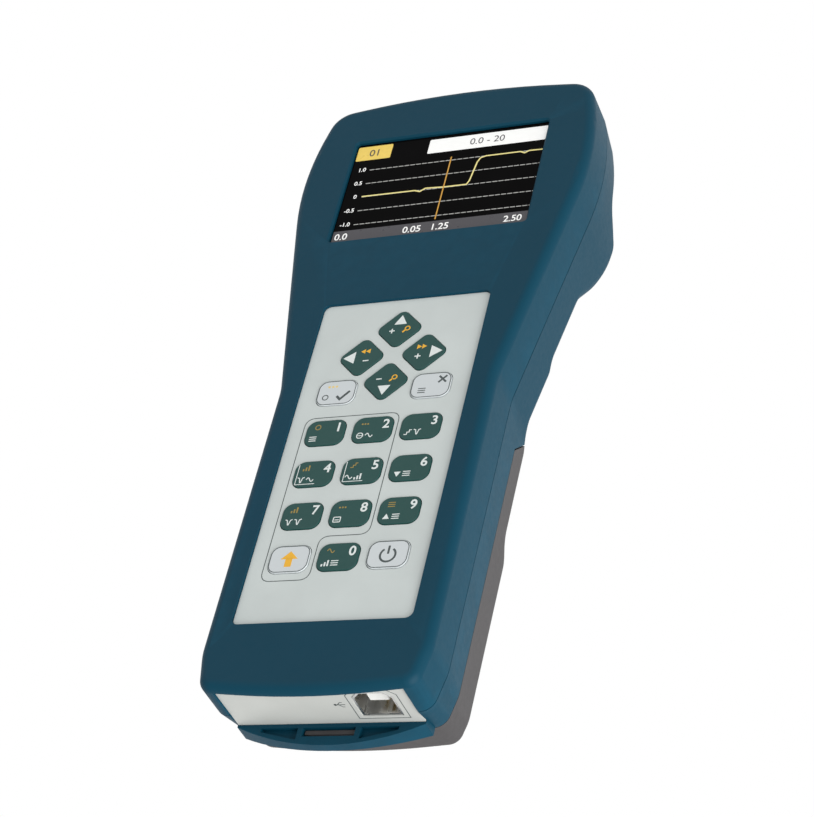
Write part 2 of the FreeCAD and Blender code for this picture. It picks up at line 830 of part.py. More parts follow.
def bridge_board():
    top = socket_z - socket_tail_r
    margin = can_wall + bridge_board_gap
    half = can_half_width - margin
    return box(-half, half, can_bottom_y + margin, can_top_y - margin, top - board_thickness, top)


def flange_screw_places():
    step = flange_screw_pitch / 2
    return [(sx * step, socket_z + sz * step) for sx in (-1, 1) for sz in (-1, 1)]


def countersunk_screw(x, z, grow=0.0):
    """Countersunk screw of the socket's flange, without its slot. Grown, it is the hole for it."""
    sink = flange_screw_head_r - flange_screw_r
    head = Part.makeCone(flange_screw_r + grow, flange_screw_head_r + grow, sink,
                         vec(x, top_panel_y - sink, z), vec(0, 1, 0))
    end_y = top_panel_y - panel_thickness - socket_flange_thickness
    return head.fuse(along_y(flange_screw_r + grow, x, z, end_y, top_panel_y - sink))


def top_end_panel():
    plate = top_plate()
    plate = plate.cut(along_y(socket_thread_r + socket_hole_gap, 0.0, socket_z,
                              top_panel_y - panel_thickness - past, top_panel_y + past))
    for x, z in flange_screw_places():
        plate = plate.cut(countersunk_screw(x, z, screw_hole_gap / 2))
    return plate


def flange_screws():
    half = drive_slot_width / 2
    reach = flange_screw_head_r * drive_slot_share
    screws = []
    for x, z in flange_screw_places():
        slot = box(x - half, x + half, top_panel_y - drive_slot_depth / 2, top_panel_y + past,
                   z - reach, z + reach)
        screws.append(countersunk_screw(x, z).cut(slot))
    return group(screws)


def socket_body():
    """Threaded barrel with its flange behind the panel. The thread is cut as rings of the same pitch."""
    back = top_panel_y - panel_thickness
    root_r = socket_thread_r - socket_thread_depth
    flank = socket_thread_pitch * thread_flank_share
    root = socket_thread_pitch * thread_root_share
    y = socket_tip_y - socket_lead - socket_thread_turns * socket_thread_pitch
    points = [vec(0, back - join, 0), vec(socket_thread_r, back - join, 0), vec(socket_thread_r, y, 0)]
    for _ in range(socket_thread_turns):
        points.append(vec(root_r, y + flank, 0))
        points.append(vec(root_r, y + flank + root, 0))
        points.append(vec(socket_thread_r, y + 2 * flank + root, 0))
        y += socket_thread_pitch
        points.append(vec(socket_thread_r, y, 0))
    points.append(vec(socket_thread_r - socket_lead, socket_tip_y, 0))
    points.append(vec(0, socket_tip_y, 0))
    profile = Part.Face(Part.makePolygon(points + points[:1]))
    barrel = profile.revolve(vec(0, 0, 0), vec(0, 1, 0), 360)
    square = rectangle(socket_flange, socket_flange, socket_flange_corner_r)
    flange = prism(square, 0.0, socket_flange_thickness)
    flange.rotate(vec(0, 0, 0), vec(1, 0, 0), 90)
    flange.translate(vec(0, back, 0))
    rear_y = back - socket_flange_thickness - socket_rear_length
    body = fuse_all(barrel, [flange, along_y(socket_rear_r, 0, 0, rear_y, back)])
    body.translate(vec(0, 0, socket_z))
    floor_y = socket_tip_y - socket_bore_depth
    body = body.cut(along_y(socket_bore_r, 0, socket_z, floor_y, socket_tip_y + past))
    body = body.cut(along_y(socket_insulator_r, 0, socket_z, rear_y - past, socket_tip_y))
    for x, z in flange_screw_places():
        body = body.cut(along_y(flange_screw_r, x, z, back - socket_flange_thickness - past, back))
    return body


def socket_insulator():
    rear_y = top_panel_y - panel_thickness - socket_flange_thickness - socket_rear_length
    body = along_y(socket_insulator_r, 0, socket_z, rear_y, socket_tip_y - socket_bore_depth)
    return body.cut(along_y(socket_pin_r, 0, socket_z, rear_y - past, socket_tip_y))


def socket_pin():
    """Slotted centre contact with a thin tail that ends on the bridge board."""
    rear = top_panel_y - panel_thickness - socket_flange_thickness - socket_rear_length
    tip = socket_tip_y - socket_pin_recess
    pin = along_y(socket_pin_r, 0, socket_z, rear, tip)
    pin = pin.cut(along_y(socket_pin_bore_r, 0, socket_z, tip - socket_pin_bore_depth, tip + past))
    for w, h in ((socket_pin_slot, 4 * socket_pin_r), (4 * socket_pin_r, socket_pin_slot)):
        slot = box(-w / 2, w / 2, tip - socket_pin_slot_depth, tip + past,
                   socket_z - h / 2, socket_z + h / 2)
        pin = pin.cut(slot)
    return pin.fuse(along_y(socket_tail_r, 0, socket_z, rear - socket_tail_length, rear + past))


def usb_corners(grow=0.0):
    """Front view of the square data socket, chamfered at the two corners nearest the case face."""
    w = usb_width / 2 + grow
    h = usb_height / 2 + grow
    c = usb_chamfer
    return [(usb_x - w, usb_z - h), (usb_x + w, usb_z - h), (usb_x + w, usb_z + h - c),
            (usb_x + w - c, usb_z + h), (usb_x - w + c, usb_z + h), (usb_x - w, usb_z + h - c)]


def usb_prism(grow, y0, y1):
    points = [vec(x, y0, z) for x, z in usb_corners(grow)]
    return Part.Face(Part.makePolygon(points + points[:1])).extrude(vec(0, y1 - y0, 0))


def bottom_end_panel():
    hole = usb_prism(usb_hole_gap, bottom_panel_y - past, bottom_panel_y + panel_thickness + past)
    return bottom_plate().cut(hole)


def usb_shell():
    front = bottom_panel_y + usb_setback
    back = front + usb_depth
    return usb_prism(0.0, front, back).cut(usb_prism(-usb_wall, front - past, back - usb_wall))


def usb_tongue():
    """Pale plastic liner of the data socket with its contact tongue."""
    front = bottom_panel_y + usb_setback
    back = front + usb_depth - usb_wall - layer_gap
    liner = usb_prism(-usb_wall - layer_gap, back - usb_tongue_back, back)
    tongue = box(usb_x - usb_tongue_width / 2, usb_x + usb_tongue_width / 2, front + usb_tongue_setback,
                 back - usb_tongue_back / 2, usb_z - usb_tongue_height / 2, usb_z + usb_tongue_height / 2)
    return liner.fuse(tongue)


def usb_contacts():
    front = bottom_panel_y + usb_setback + usb_tongue_setback + usb_contact_setback
    liner_y = bottom_panel_y + usb_setback + usb_depth - usb_wall - layer_gap - usb_tongue_back
    back = liner_y - usb_contact_gap
    strips = []
    for side_z in (-1, 1):
        for side_x in (-1, 1):
            x = usb_x + side_x * usb_contact_pitch / 2
            z = usb_z + side_z * usb_tongue_height / 2
            z0, z1 = sorted((z, z + side_z * usb_contact_thickness))
            strips.append(box(x - usb_contact_width / 2, x + usb_contact_width / 2, front, back, z0, z1))
    return group(strips)


def cell_solid(index):
    """AA cell lying along Y; the middle one points the other way."""
    x = (index - 1) * cell_pitch
    can_length = cell_length - cell_nub_height
    start = bay_bottom_y + contact_plate_thickness + spring_length
    cell = along_y(cell_r, 0, 0, 0, can_length)
    cell = cell.makeFillet(cell_edge_r, [e for e in cell.Edges if e.Curve.TypeId == "Part::GeomCircle"])
    cell = cell.fuse(along_y(cell_nub_r, 0, 0, can_length - past, cell_length))
    if index == 1:
        cell.rotate(vec(0, 0, 0), vec(0, 0, 1), 180)
        start = bay_top_y - contact_plate_thickness - spring_length
    cell.translate(vec(x, start, cell_z))
    return cell


def coil(x, start_y, direction):
    """Tapered contact spring, wound as half turns of wire between the plate and the cell."""
    rise = spring_length - 2 * spring_wire_r
    steps = spring_turns * 2
    points = []
    for i in range(2 * steps + 1):
        share = i / (2 * steps)
        radius = spring_base_r + (spring_tip_r - spring_base_r) * share
        angle = math.pi * i / 2
        y = start_y + direction * (spring_wire_r + rise * share)
        points.append(vec(x + radius * math.cos(angle), y, cell_z + radius * math.sin(angle)))
    arcs = [Part.Arc(*points[i:i + 3]).toShape() for i in range(0, 2 * steps, 2)]
    path = Part.Wire(arcs)
    tangent = path.Edges[0].tangentAt(path.Edges[0].FirstParameter)
    section = Part.Wire(Part.makeCircle(spring_wire_r, points[0], tangent))
    return path.makePipeShell([section], True, False)


def battery_springs():
    springs = []
    for index in range(3):
        x = (index - 1) * cell_pitch
        if index == 1:
            springs.append(coil(x, bay_top_y - contact_plate_thickness, -1))
        else:
            springs.append(coil(x, bay_bottom_y + contact_plate_thickness, 1))
    return group(springs)


def contact_plates():
    """Six plates at the ends of the bay; those facing a cell's nub have a raised button."""
    plates = []
    half = contact_plate_half_width
    for index in range(3):
        x = (index - 1) * cell_pitch
        for end in (-1, 1):
            y = bay_bottom_y + contact_plate_gap if end < 0 else bay_top_y - contact_plate_gap
            y0, y1 = sorted((y, y - end * (contact_plate_thickness - contact_plate_gap)))
            plate = box(x - half, x + half, y0, y1, cell_z - half, cell_z + half)
            nub_end = -1 if index == 1 else 1
            if end == nub_end:
                reach = contact_plate_thickness + contact_dimple - 2 * contact_plate_gap
                b0, b1 = sorted((y - end * join, y - end * reach))
                plate = plate.fuse(along_y(contact_dimple_r, x, cell_z, b0, b1))
            plates.append(plate)
    return group(plates)


def all_parts():
    body = rounded_rear_body()
    parts = {
        "front_shell": front_shell(),
        "rear_shell": rear_shell(body),
        "battery_cover": battery_cover(body),
        "top_end_panel": top_end_panel(),
        "bottom_end_panel": bottom_end_panel(),
        "display_lens": prism(lens_corners(), lens_top_z - lens_thickness, lens_top_z),
        "display_bezel": display_bezel(),
        "keypad_overlay": keypad_overlay(),
    }
    glass_z = ceiling_z - layer_gap * 2 - bezel_wall - layer_gap
    parts["display_glass"] = display_layer(glass_z, glass_thickness)
    parts["display_backlight"] = display_layer(glass_z - glass_thickness - layer_gap, backlight_thickness)
    for name, kind, x, y in key_places():
        parts[name] = make_key(kind, x, y)
    parts["key_domes"] = group([upright(dome_r, x, y, keypad_board_z, keypad_board_z + dome_height)
                                for _, _, x, y in key_places()])
    parts["keypad_board"] = board(keypad_board_half_width, keypad_board_bottom_y, keypad_board_top_y,
                                  keypad_board_z, mirrored(keypad_screws))
    parts["main_board"] = board(main_board_half_width, main_board_bottom_y, main_board_top_y,
                                main_board_z, mirrored(main_screws))
    parts["power_board"] = board(power_board_half_width, power_board_bottom_y, power_board_top_y,
                                 usb_board_z, mirrored(power_screws))
    main_back = main_board_z - board_thickness
    keypad_back = keypad_board_z - board_thickness
    parts["main_board_chips"] = group([box(x - w / 2, x + w / 2, y - h / 2, y + h / 2,
                                           main_back - chip_height, main_back) for x, y, w, h in chip_places])
    frame_edge = lens_centre_y - bezel_height / 2
    board_top = main_board_z + ribbon_thickness
    parts["display_ribbon"] = bent_strip([(frame_edge - layer_gap, board_top + ribbon_rise),
                                          (frame_edge - ribbon_slope, board_top + ribbon_rise),
                                          (frame_edge - 2 * ribbon_slope, board_top),
                                          (frame_edge - 2 * ribbon_slope - ribbon_tab, board_top)],
                                         ribbon_half_width)
    parts["board_ribbon"] = bent_strip([(keypad_board_top_y - ribbon_tab, keypad_back),
                                        (keypad_board_top_y, keypad_back),
                                        (main_board_bottom_y, main_back),
                                        (main_board_bottom_y + ribbon_tab / 2, main_back)],
                                       ribbon_half_width)
    parts["board_header"] = box(header_x - header_width / 2, header_x + header_width / 2,
                                header_y - header_depth / 2, header_y + header_depth / 2,
                                usb_board_z, keypad_back)
    parts["radio_can"] = radio_can()
    parts["bridge_board"] = bridge_board()
    buzzer = upright(buzzer_r, buzzer_x, buzzer_y, main_back - buzzer_height, main_back)
    parts["buzzer"] = buzzer.cut(upright(buzzer_hole_r, buzzer_x, buzzer_y,
                                         main_back - buzzer_height - past,
                                         main_back - buzzer_height / 2))
    parts["antenna_socket"] = socket_body()
    parts["antenna_insulator"] = socket_insulator()
    parts["antenna_pin"] = socket_pin()
    parts["socket_screws"] = flange_screws()
    parts["usb_shell"] = usb_shell()
    parts["usb_tongue"] = usb_tongue()
    parts["usb_contacts"] = usb_contacts()
    for index in range(3):
        parts["battery_" + str(index + 1)] = cell_solid(index)
    parts["battery_springs"] = battery_springs()
    parts["battery_contacts"] = contact_plates()
    parts["case_screws"] = group([flat_head_screw(x, y, case_screw_seat_z, case_screw_length, case_screw_r,
                                                  case_screw_head_r, case_screw_head)
                                  for x, y in mirrored(case_screws)])
    parts["board_screws"] = board_screws()
    return parts


def main():
    os.makedirs("parts", exist_ok=True)
    parts = all_parts()
    box_middle = (chin_y + socket_tip_y) / 2
    for name, shape in parts.items():
        if not shape.isValid():
            print("not valid:", name)
        shape.translate(vec(0, -box_middle, -rest_z))
        shape.exportStep("parts/" + name + ".step")
        print(name, len(shape.Solids), round(shape.Volume, 1))


main()
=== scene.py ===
import math

import bmesh
import bpy
from mathutils import Matrix, Vector


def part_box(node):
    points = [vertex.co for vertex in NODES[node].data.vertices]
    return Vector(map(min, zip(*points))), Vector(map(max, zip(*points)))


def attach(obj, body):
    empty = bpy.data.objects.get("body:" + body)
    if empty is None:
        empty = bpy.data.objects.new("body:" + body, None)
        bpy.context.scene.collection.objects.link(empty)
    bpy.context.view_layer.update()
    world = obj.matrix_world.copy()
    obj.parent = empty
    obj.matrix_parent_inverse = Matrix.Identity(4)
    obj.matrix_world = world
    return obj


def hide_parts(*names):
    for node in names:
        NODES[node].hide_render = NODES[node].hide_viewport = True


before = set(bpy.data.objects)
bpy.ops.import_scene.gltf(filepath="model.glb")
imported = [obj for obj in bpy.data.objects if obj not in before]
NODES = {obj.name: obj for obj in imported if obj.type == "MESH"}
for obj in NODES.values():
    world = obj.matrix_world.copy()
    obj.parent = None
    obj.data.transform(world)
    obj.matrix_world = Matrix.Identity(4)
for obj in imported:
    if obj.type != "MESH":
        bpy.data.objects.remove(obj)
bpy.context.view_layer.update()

# Places are in millimetres, as in the part's source: z = 0 is the keypad face, y = 0 the waist.
BOX_MIDDLE_Y = 10.05
REST_Z = -40.0
PRINT = 0.02


def at(x, y, z):
    """Point of the frame, in metres, for a place in the source's millimetres."""
    return Vector((x, y - BOX_MIDDLE_Y, z - REST_Z)) / 1000


def source_box(node):
    """Lowest and highest corners of a node in the source's millimetres, to the micrometre."""
    return [(round(p.x * 1000, 3), round(p.y * 1000 + BOX_MIDDLE_Y, 3), round(p.z * 1000 + REST_Z, 3))
            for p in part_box(node)]


def centre(node):
    low, high = source_box(node)
    return [(a + b) / 2 for a, b in zip(low, high)]


def srgb(r, g, b):
    """Linear colour of a screen colour given from 0 to 255."""
    def linear(v):
        v /= 255
        return v / 12.92 if v <= 0.04045 else ((v + 0.055) / 1.055) ** 2.4
    return (linear(r), linear(g), linear(b), 1.0)


def scaled(colour, k):
    return tuple(min(1.0, c * k) for c in colour[:3]) + (1.0,)


# Materials. The scale of a noise is in features per metre.


class Nodes:
    """A new node material with short calls to add and join its nodes."""

    def __init__(self, name):
        self.material = bpy.data.materials.new(name)
        self.material.use_nodes = True
        self.tree = self.material.node_tree
        self.shader = self.tree.nodes["Principled BSDF"]
        self.place = self.add("ShaderNodeTexCoord").outputs["Object"]

    def add(self, kind, **values):
        node = self.tree.nodes.new(kind)
        for key, value in values.items():
            if hasattr(node, key):
                setattr(node, key, value)
            else:
                node.inputs[key.replace("_", " ")].default_value = value
        return node

    def join(self, source, target):
        self.tree.links.new(source, target)

    def set(self, **values):
        for key, value in values.items():
            self.shader.inputs[key.replace("_", " ")].default_value = value

    def stretched(self, scale):
        mapping = self.add("ShaderNodeMapping")
        mapping.inputs["Scale"].default_value = scale
        self.join(self.place, mapping.inputs["Vector"])
        return mapping.outputs["Vector"]

    def noise(self, scale, detail=3.0, vector=None):
        node = self.add("ShaderNodeTexNoise", Scale=scale, Detail=detail)
        self.join(vector or self.place, node.inputs["Vector"])
        return node.outputs["Fac"]

    def ranged(self, value, low, high, start=0.3, end=0.7):
        """Maps start to end onto low to high. A noise mostly lies between 0.3 and 0.7."""
        node = self.add("ShaderNodeMapRange")
        self.join(value, node.inputs["Value"])
        for key, number in (("From Min", start), ("From Max", end), ("To Min", low), ("To Max", high)):
            node.inputs[key].default_value = number
        return node.outputs["Result"]

    def mix(self, factor, first, second):
        node = self.add("ShaderNodeMix", data_type="RGBA")
        sockets = node.inputs[0], node.inputs[6], node.inputs[7]
        for socket, value in zip(sockets, (factor, first, second)):
            if isinstance(value, (tuple, float)):
                socket.default_value = value
            else:
                self.join(value, socket)
        return node.outputs[2]

    def colour(self, value):
        self.join(value, self.shader.inputs["Base Color"])

    def roughness(self, value):
        self.join(value, self.shader.inputs["Roughness"])

    def bump(self, height, strength, distance=0.0001):
        """Distance is in metres."""
        node = self.add("ShaderNodeBump", Strength=strength, Distance=distance)
        self.join(height, node.inputs["Height"])
        self.join(node.outputs["Normal"], self.shader.inputs["Normal"])

    def worn(self, colour, light, amount):
        """Lighter along convex edges, where hands and tables rub it."""
        flat, sharp = 0.53, 0.60
        pointiness = self.add("ShaderNodeNewGeometry").outputs["Pointiness"]
        edge = self.ranged(pointiness, 0.0, amount, flat, sharp)
        patchy = self.ranged(self.noise(220.0), 0.2, 1.0)
        both = self.add("ShaderNodeMath", operation="MULTIPLY")
        self.join(edge, both.inputs[0])
        self.join(patchy, both.inputs[1])
        return self.mix(both.outputs[0], colour, light)


def plastic(name, colour, rough=0.45, grain=2600.0, bump=0.25, spread=0.03, specular=0.5, wear=0.35):
    """Moulded plastic: fine spark-eroded grain, faint blotches and rubbed edges."""
    m = Nodes(name)
    blotches = m.ranged(m.noise(38.0, 4.0), 0.0, 1.0)
    tint = m.mix(blotches, scaled(colour, 1 - spread), scaled(colour, 1 + spread))
    m.colour(m.worn(tint, scaled(colour, 1.7), wear))
    m.roughness(m.ranged(m.noise(600.0), rough - 0.03, rough + 0.03))
    m.bump(m.noise(grain, 2.0), bump)
    m.set(Specular_IOR_Level=specular)
    return m.material


def metal(name, colour, rough, along, bump=0.12, spread=0.08):
    """Metal with fine draw lines; along stretches them, and small values are the long way."""
    m = Nodes(name)
    lines = m.noise(900.0, 3.0, m.stretched(along))
    m.colour(m.mix(m.ranged(lines, 0.0, 1.0), scaled(colour, 1 - spread), scaled(colour, 1 + spread)))
    m.roughness(m.ranged(m.noise(160.0), rough - 0.06, rough + 0.1))
    m.bump(lines, bump)
    m.set(Metallic=1.0)
    return m.material


def painted(name, colour, rough):
    """Sprayed plate: very fine orange peel and faint dust."""
    m = Nodes(name)
    dust = m.ranged(m.noise(65.0, 5.0), 0.0, 1.0)
    m.colour(m.mix(dust, scaled(colour, 0.96), scaled(colour, 1.03)))
    m.roughness(m.ranged(m.noise(500.0), rough - 0.05, rough + 0.08))
    m.bump(m.noise(1500.0, 2.0), 0.12)
    m.set(Specular_IOR_Level=0.4)
    return m.material


def ink(name, colour, glow=0.0, rough=0.5):
    """Printed or lit mark. The ink varies a little in density."""
    m = Nodes(name)
    density = m.ranged(m.noise(700.0, 2.0), 0.0, 1.0)
    m.colour(m.mix(density, scaled(colour, 0.93), colour))
    m.roughness(m.ranged(m.noise(300.0), rough - 0.04, rough + 0.05))
    if glow:
        m.set(Emission_Color=colour, Emission_Strength=glow)
    return m.material


def circuit_board(name):
    """Green solder mask with paler tracks under it."""
    m = Nodes(name)
    bricks = m.add("ShaderNodeTexBrick", Scale=230.0)
    bricks.inputs["Mortar Size"].default_value = 0.05
    bricks.inputs["Color1"].default_value = (0.010, 0.085, 0.035, 1.0)
    bricks.inputs["Color2"].default_value = (0.014, 0.115, 0.045, 1.0)
    bricks.inputs["Mortar"].default_value = (0.035, 0.20, 0.085, 1.0)
    m.join(m.place, bricks.inputs["Vector"])
    m.colour(bricks.outputs["Color"])
    m.roughness(m.ranged(m.noise(300.0), 0.25, 0.4))
    m.bump(bricks.outputs["Fac"], 0.3)
    return m.material


BARE_METAL = (0.7, 0.7, 0.68, 1)
GOLD_BAND = (0.62, 0.36, 0.09, 1)
DARK_SLEEVE = (0.025, 0.028, 0.035, 1)
SLEEVE_STOPS = [(0.0, BARE_METAL), (0.045, GOLD_BAND), (0.30, DARK_SLEEVE), (0.965, BARE_METAL)]


def cell_sleeve(name, nub_y, far_y):
    """Printed sleeve of a cell: bare metal at both ends and a gold band near its nub."""
    m = Nodes(name)
    split = m.add("ShaderNodeSeparateXYZ")
    m.join(m.place, split.inputs[0])
    share = m.ranged(split.outputs["Y"], 0.0, 1.0, at(0, nub_y, 0).y, at(0, far_y, 0).y)
    ramp = m.add("ShaderNodeValToRGB")
    ramp.color_ramp.interpolation = "CONSTANT"
    elements = ramp.color_ramp.elements
    for element, (position, colour) in zip(elements, SLEEVE_STOPS):
        element.position, element.color = position, colour
    for position, colour in SLEEVE_STOPS[len(elements):]:
        elements.new(position).color = colour
    m.join(share, ramp.inputs["Fac"])
    rub = m.ranged(m.noise(90.0, 4.0), 0.0, 0.12)
    m.colour(m.mix(rub, ramp.outputs["Color"], (0.5, 0.5, 0.5, 1.0)))
    m.roughness(m.ranged(m.noise(200.0), 0.22, 0.36))
    m.bump(m.noise(400.0), 0.05)
    m.set(Metallic=0.35)
    return m.material


def dark_screen(name):
    """Black display seen through its polished window, with faint smears on the gloss."""
    m = Nodes(name)
    smear = m.ranged(m.noise(30.0, 5.0), 0.0, 1.0)
    m.colour(m.mix(smear, (0.0012, 0.0011, 0.0012, 1.0), (0.0022, 0.0020, 0.0022, 1.0)))
    m.roughness(m.ranged(m.noise(60.0, 4.0), 0.10, 0.2))
    m.bump(m.noise(25.0, 1.0), 0.02)
    m.set(Specular_IOR_Level=0.02)
    return m.material


CASE = plastic("case_blue", srgb(6, 57, 75), rough=0.5, specular=0.12)
COVER = plastic("cover_grey", srgb(63, 61, 62), rough=0.55, spread=0.04, specular=0.3)
OVERLAY = painted("overlay_sheet", srgb(201, 208, 206), rough=0.55)
PANEL = painted("panel_grey", srgb(183, 185, 181), rough=0.38)
KEY_DARK = plastic("key_green", srgb(20, 66, 62), rough=0.5, grain=1800.0, bump=0.15, specular=0.3, wear=0.25)
KEY_LIGHT = plastic("key_white", srgb(203, 209, 211), rough=0.5, grain=1800.0, bump=0.12, spread=0.02,
                    wear=0.1)
BLACK = plastic("black_part", (0.02, 0.02, 0.021, 1.0), rough=0.4, wear=0.4)
PALE = plastic("pale_liner", srgb(226, 226, 222), rough=0.4, spread=0.03, wear=0.1)
FLUORO = plastic("white_insulator", srgb(236, 236, 232), rough=0.35, spread=0.02, wear=0.0)
RIBBON = plastic("amber_ribbon", (0.42, 0.2, 0.04, 1.0), rough=0.3, wear=0.0)
STEEL = metal("thin_steel", (0.55, 0.55, 0.56, 1.0), 0.32, (1.0, 0.06, 1.0))
TIN = metal("tin_plate", (0.62, 0.62, 0.60, 1.0), 0.35, (0.06, 1.0, 1.0))
NICKEL = metal("socket_nickel", (0.66, 0.64, 0.60, 1.0), 0.2, (1.0, 0.1, 1.0), 0.06)
USB_STEEL = metal("usb_nickel", (0.62, 0.62, 0.61, 1.0), 0.25, (1.0, 0.08, 1.0), 0.08)
GOLD = metal("gold_plate", (0.78, 0.56, 0.2, 1.0), 0.22, (1.0, 0.2, 1.0), 0.05)
ZINC = metal("zinc_screw", (0.5, 0.5, 0.49, 1.0), 0.3, (1.0, 1.0, 0.1), 0.1)
SPRING = metal("spring_wire", (0.68, 0.68, 0.66, 1.0), 0.22, (1.0, 0.2, 1.0), 0.05)
BOARD = circuit_board("green_board")
SCREEN = dark_screen("screen_black")
WHITE_INK = ink("white_ink", srgb(226, 232, 230))
YELLOW_INK = ink("yellow_ink", srgb(238, 178, 36))
MUSTARD_INK = ink("mustard_ink", srgb(150, 126, 52))
PALE_YELLOW_INK = ink("pale_yellow_ink", srgb(235, 208, 130))
DARK_INK = ink("dark_ink", srgb(58, 68, 68))
LIT_WHITE = ink("lit_white", srgb(240, 240, 238), glow=0.25, rough=0.3)
LIT_LINE = ink("lit_line", srgb(176, 176, 172), glow=0.1, rough=0.3)
LIT_TRACE = ink("lit_trace", srgb(232, 218, 140), glow=0.15, rough=0.3)
LIT_CURSOR = ink("lit_cursor", srgb(206, 150, 44), glow=0.1, rough=0.3)
LIT_YELLOW = ink("lit_yellow", srgb(238, 205, 92), glow=0.1, rough=0.3)
LIT_GREY = ink("lit_grey", srgb(58, 56, 62), rough=0.3)

NODE_MATERIALS = {
    "front_shell": CASE, "rear_shell": CASE, "battery_cover": COVER, "top_end_panel": PANEL,
    "bottom_end_panel": PANEL, "display_bezel": STEEL, "display_glass": SCREEN, "display_backlight": PALE,
    "keypad_overlay": OVERLAY, "key_domes": SPRING, "keypad_board": BOARD, "main_board": BOARD,
    "power_board": BOARD, "bridge_board": BOARD, "main_board_chips": BLACK, "display_ribbon": RIBBON,
    "board_ribbon": RIBBON, "board_header": BLACK, "radio_can": TIN, "buzzer": BLACK,
    "antenna_socket": NICKEL, "antenna_insulator": FLUORO, "antenna_pin": GOLD, "socket_screws": ZINC,
    "usb_shell": USB_STEEL, "usb_tongue": PALE, "usb_contacts": GOLD, "battery_springs": SPRING,
    "battery_contacts": SPRING, "case_screws": ZINC, "board_screws": ZINC,
}


def set_material(obj, material):
    obj.data.materials.clear()
    obj.data.materials.append(material)
    for face in obj.data.polygons:
        face.material_index = 0


def dress_nodes():
    for name, obj in NODES.items():
        if name in NODE_MATERIALS:
            set_material(obj, NODE_MATERIALS[name])
        elif name.startswith("key_"):
            set_material(obj, KEY_LIGHT if name in LIGHT_KEY_MARKS else KEY_DARK)
    for number in (1, 2, 3):
        name = "battery_" + str(number)
        low, high = source_box(name)
        nub_first = number == 2
        nub_y, far_y = (low[1], high[1]) if nub_first else (high[1], low[1])
        set_material(NODES[name], cell_sleeve("sleeve_" + str(number), nub_y, far_y))


# Flat marks: outlines and strokes in a plane, given a little thickness


def stroke(points, width, closed=False):
    """Quads of a line of constant width through the points, mitred at its corners."""
    sharpest = 0.4
    count = len(points)
    left, right = [], []
    for i, (x, y) in enumerate(points):
        px, py = points[i - 1] if closed or i else points[0]
        nx, ny = points[(i + 1) % count] if closed or i < count - 1 else points[-1]
        ins = Vector((x - px, y - py))
        out = Vector((nx - x, ny - y))
        ins = ins.normalized() if ins.length else out.normalized()
        out = out.normalized() if out.length else ins
        along = (ins + out).normalized()
        reach = width / 2 / max(sharpest, along.dot(ins))
        left.append((x - along.y * reach, y + along.x * reach))
        right.append((x + along.y * reach, y - along.x * reach))
    steps = count if closed else count - 1
    return [[right[i], right[(i + 1) % count], left[(i + 1) % count], left[i]] for i in range(steps)]


def rounded(width, height, radius, x=0.0, y=0.0, turns=8):
    """Outline of a rounded rectangle centred on (x, y)."""
    points = []
    for cx, cy, start in ((1, -1, -90), (1, 1, 0), (-1, 1, 90), (-1, -1, 180)):
        for i in range(turns + 1):
            angle = math.radians(start + 90 * i / turns)
            points.append((x + cx * (width / 2 - radius) + radius * math.cos(angle),
                           y + cy * (height / 2 - radius) + radius * math.sin(angle)))
    return points


def circle(x, y, radius, start=0.0, sweep=360.0, steps=28):
    whole = steps if sweep >= 360 else steps + 1
    angles = [math.radians(start + sweep * i / steps) for i in range(whole)]
    return [(x + radius * math.cos(a), y + radius * math.sin(a)) for a in angles]


def shifted(polygons, x, y, size=1.0):
    return [[(x + a * size, y + b * size) for a, b in polygon] for polygon in polygons]


def digits(text, x, y, height, weight=0.02, align="CENTER"):
    """Filled triangles of numbers set in the built-in font, centred on (x, y) or set from one side."""
    curve = bpy.data.curves.new("digits", "FONT")
    curve.body = text
    curve.offset = weight
    obj = bpy.data.objects.new("digits", curve)
    mesh = bpy.data.meshes.new_from_object(obj)
    mesh.calc_loop_triangles()
    points = [(v.co.x, v.co.y) for v in mesh.vertices]
    triangles = [[points[i] for i in t.vertices] for t in mesh.loop_triangles]
    xs = [p[0] for p in points]
    ys = [p[1] for p in points]
    bpy.data.objects.remove(obj)
    bpy.data.curves.remove(curve)
    bpy.data.meshes.remove(mesh)
    size = height / (max(ys) - min(ys))
    anchor = {"CENTER": (min(xs) + max(xs)) / 2, "LEFT": min(xs), "RIGHT": max(xs)}[align]
    return shifted(triangles, x - anchor * size, y - (min(ys) + max(ys)) / 2 * size, size)


def flat_piece(name, layers, place, body, thickness=PRINT):
    """One piece of thin marks. layers is a list of (polygons, material)."""
    same_point = 1e-5
    mesh = bmesh.new()
    for index, (polygons, _) in enumerate(layers):
        for polygon in polygons:
            face = mesh.faces.new([mesh.verts.new((a, b, 0.0)) for a, b in polygon])
            face.material_index = index
            face.normal_update()
            if face.normal.z < 0:
                face.normal_flip()
    bmesh.ops.remove_doubles(mesh, verts=mesh.verts, dist=same_point)
    top = bmesh.ops.extrude_face_region(mesh, geom=mesh.faces[:])
    for item in top["geom"]:
        if isinstance(item, bmesh.types.BMVert):
            item.co.z = thickness
    for vert in mesh.verts:
        vert.co = place(*vert.co)
    bmesh.ops.recalc_face_normals(mesh, faces=mesh.faces)
    data = bpy.data.meshes.new(name)
    mesh.to_mesh(data)
    mesh.free()
    obj = bpy.data.objects.new(name, data)
    bpy.context.scene.collection.objects.link(obj)
    for _, material in layers:
        data.materials.append(material)
    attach(obj, body)


def on_level(z, x0=0.0, y0=0.0):
    """Places marks on the level z, measured from (x0, y0)."""
    return lambda a, b, h: at(x0 + a, y0 + b, z + h)


def on_key(name):
    x, y, _ = centre(name)
    return on_level(source_box(name)[1][2], x, y)


def on_panel(a, b, h):
    outside = source_box("bottom_end_panel")[0][1]
    return at(a, outside - h, b)


# Small signs for the keys, drawn within a square of side 1

